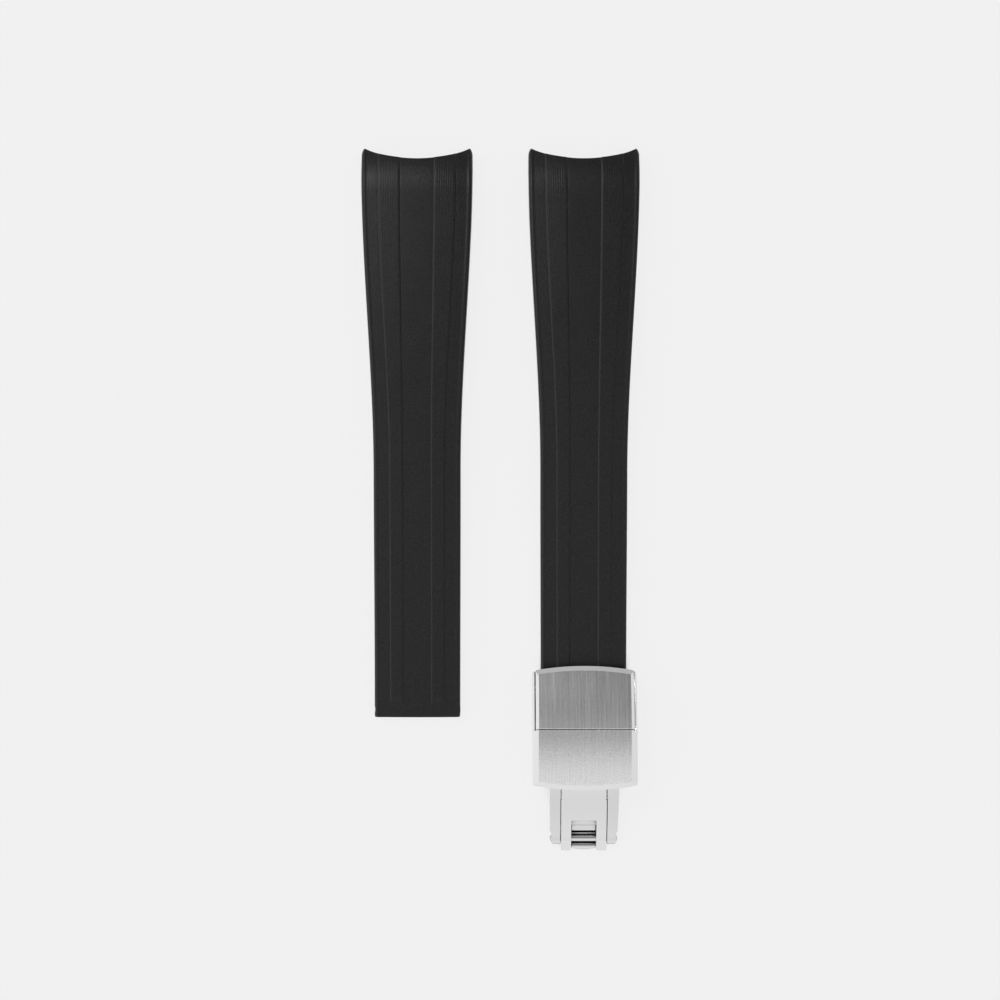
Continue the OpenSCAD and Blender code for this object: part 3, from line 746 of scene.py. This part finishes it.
def paper_floor(colour):
    """Matt white card: evenly lit, and it keeps the soft contact shadow of the strap."""
    material, tree, place = new_material("matt_card")
    fibre = bumped(tree, noise(tree, place, 0.5 * MM), 0.02, 0.01 * MM)
    card = add_node(tree, "ShaderNodeBsdfDiffuse", {"Color": colour, "Normal": fibre}).outputs["BSDF"]
    # The card's own colour, for the camera and for what metal mirrors; the rest of it is lit card. The camera
    # gets it from the backdrop through a clear card, so a half that swings below the card still shows.
    path = add_node(tree, "ShaderNodeLightPath").outputs
    mirrored = add_node(tree, "ShaderNodeEmission", {"Color": colour, "Strength": 1.0}).outputs["Emission"]
    clear = add_node(tree, "ShaderNodeBsdfTransparent", {"Color": (1.0, 1.0, 1.0)}).outputs["BSDF"]
    plain = mixed_shader(tree, path["Is Camera Ray"], mirrored, clear)
    seen = reckoned(tree, "MAXIMUM", path["Is Camera Ray"], path["Is Glossy Ray"])
    seen = reckoned(tree, "MAXIMUM", seen, path["Is Transmission Ray"])
    # Deep under the strap the card is only lit card, so the slits of the clasp show it dark
    share = reckoned(tree, "MULTIPLY", seen, ramped(tree, openness(tree, 8 * MM), 0.25, 0.5, 0.0, 0.95))
    put_out(tree, "ShaderNodeOutputMaterial", mixed_shader(tree, share, card, plain))
    return material


def light_ramp(tree, place, stops):
    """The light along one axis of the room: places from -1 to 1, and the grey level at each."""
    node = add_node(tree, "ShaderNodeValToRGB", {"Fac": ramped(tree, place, -1.0, 1.0)})
    elements = node.color_ramp.elements
    elements.remove(elements[1])
    elements[0].color = (stops[0][1],) * 3 + (1,)
    for stop, level in stops[1:]:
        elements.new((stop + 1) / 2).color = (level, level, level, 1)
    return node.outputs["Color"]


def studio_world(backdrop):
    """Soft light from all round: bright behind the clasp and at both sides, dimmer towards the watch ends."""
    world = bpy.data.worlds.new("studio")
    world.use_nodes = True
    tree = world.node_tree
    tree.nodes.clear()
    heading = add_node(tree, "ShaderNodeTexCoord").outputs["Generated"]
    axes = add_node(tree, "ShaderNodeSeparateXYZ", {0: heading}).outputs
    # Along Y, and a little brighter towards the left
    room = light_ramp(tree, axes["Y"], ((-1.0, 1.17), (-0.45, 1.0), (-0.3, 1.1), (-0.1, 0.93), (0.04, 0.56),
                                        (0.16, 0.42), (0.25, 0.29), (0.6, 0.18), (0.8, 0.5), (1.0, 0.7)))
    room = scaled(tree, room, ramped(tree, axes["X"], -1.0, 1.0, 1.1, 0.9))
    # Across X: a screen on each side
    screens = light_ramp(tree, axes["X"], ((-1.0, 2.2), (-0.86, 2.0), (-0.76, 1.2), (0.0, 1.18), (0.58, 1.07),
                                           (1.0, 1.07)))
    beside = ramped(tree, reckoned(tree, "ABSOLUTE", axes["X"], 0.0), 0.42, 0.58)
    room = mixed(tree, beside, room, screens)
    # The room is dark low on the right, past the watch ends
    low = ramped(tree, axes["X"], 0.78, 0.88, 0.0, 0.9)
    past = ramped(tree, axes["Y"], -0.12, 0.15)
    room = mixed(tree, reckoned(tree, "MULTIPLY", low, past), room, (0.0, 0.0, 0.0))
    lit = add_node(tree, "ShaderNodeBackground", {"Color": room, "Strength": 1.0}).outputs["Background"]
    shown = add_node(tree, "ShaderNodeBackground", {"Color": backdrop, "Strength": 1.0}).outputs["Background"]
    camera_ray = add_node(tree, "ShaderNodeLightPath").outputs["Is Camera Ray"]
    put_out(tree, "ShaderNodeOutputWorld", mixed_shader(tree, camera_ray, lit, shown))
    return world


class STRAP_OT_stage(Operator):
    """Sets up the card, the studio light and the camera of the photograph"""

    bl_idname = "strap.stage"
    bl_label = "Stage"

    def execute(self, context):
        scene = context.scene
        settings = scene.strap_stage
        card = tuple(settings.floor_colour)
        bm = bmesh.new()
        bmesh.ops.create_grid(bm, x_segments=4, y_segments=4, size=CARD_HALF)
        bmesh.ops.translate(bm, verts=bm.verts, vec=(0, 0, -CARD_DROP))
        mesh = bpy.data.meshes.new("card_floor")
        bm.to_mesh(mesh)
        bm.free()
        mesh.materials.append(paper_floor(card))
        floor = bpy.data.objects.new("card_floor", mesh)
        scene.collection.objects.link(floor)
        scene.world = studio_world(card)
        lamp = bpy.data.lights.new("key_soft_box", "AREA")
        lamp.shape = "RECTANGLE"
        lamp.size, lamp.size_y = KEY_SIZE
        lamp.energy = settings.key_power
        key = bpy.data.objects.new("key_soft_box", lamp)
        key.location = KEY_PLACE
        key.rotation_euler = (Vector(KEY_AIM) - key.location).to_track_quat("-Z", "Y").to_euler()
        scene.collection.objects.link(key)
        camera = bpy.data.cameras.new("photo_camera")
        camera.lens = settings.lens
        camera.sensor_width = 36
        camera.clip_start = 0.01
        eye = bpy.data.objects.new("photo_camera", camera)
        eye.location = (settings.camera_x, 0, settings.camera_height)
        scene.collection.objects.link(eye)
        scene.camera = eye
        scene.view_settings.view_transform = "Standard"
        return {"FINISHED"}


class STRAP_PT_sidebar(Panel):
    """Lists the pieces of the strap and their settings"""

    bl_label = "Rubber Watch Strap"
    bl_idname = "STRAP_PT_sidebar"
    bl_space_type = "VIEW_3D"
    bl_region_type = "UI"
    bl_category = "Strap"

    def draw(self, context):
        for group, operators in (
            (context.scene.strap_rubber, ("strap.rubber_halves",)),
            (context.scene.strap_clasp, ("strap.leaves", "strap.cover", "strap.pins", "strap.bars")),
            (context.scene.strap_stage, ("strap.stage",)),
        ):
            box = self.layout.box()
            for name in type(group).__annotations__:
                box.prop(group, name)
            for operator in operators:
                box.operator(operator)


CLASSES = (RubberSettings, ClaspSettings, StageSettings, STRAP_OT_rubber_halves, STRAP_OT_leaves,
           STRAP_OT_cover, STRAP_OT_pins, STRAP_OT_bars, STRAP_OT_stage, STRAP_PT_sidebar)


def register():
    for cls in CLASSES:
        bpy.utils.register_class(cls)
    bpy.types.Scene.strap_rubber = PointerProperty(type=RubberSettings)
    bpy.types.Scene.strap_clasp = PointerProperty(type=ClaspSettings)
    bpy.types.Scene.strap_stage = PointerProperty(type=StageSettings)


def unregister():
    del bpy.types.Scene.strap_stage
    del bpy.types.Scene.strap_clasp
    del bpy.types.Scene.strap_rubber
    for cls in reversed(CLASSES):
        bpy.utils.unregister_class(cls)


def main():
    register()
    bpy.ops.strap.stage()
    bpy.ops.strap.rubber_halves()
    bpy.ops.strap.leaves()
    bpy.ops.strap.cover()
    bpy.ops.strap.pins()
    bpy.ops.strap.bars()


if __name__ == "__main__":
    main()
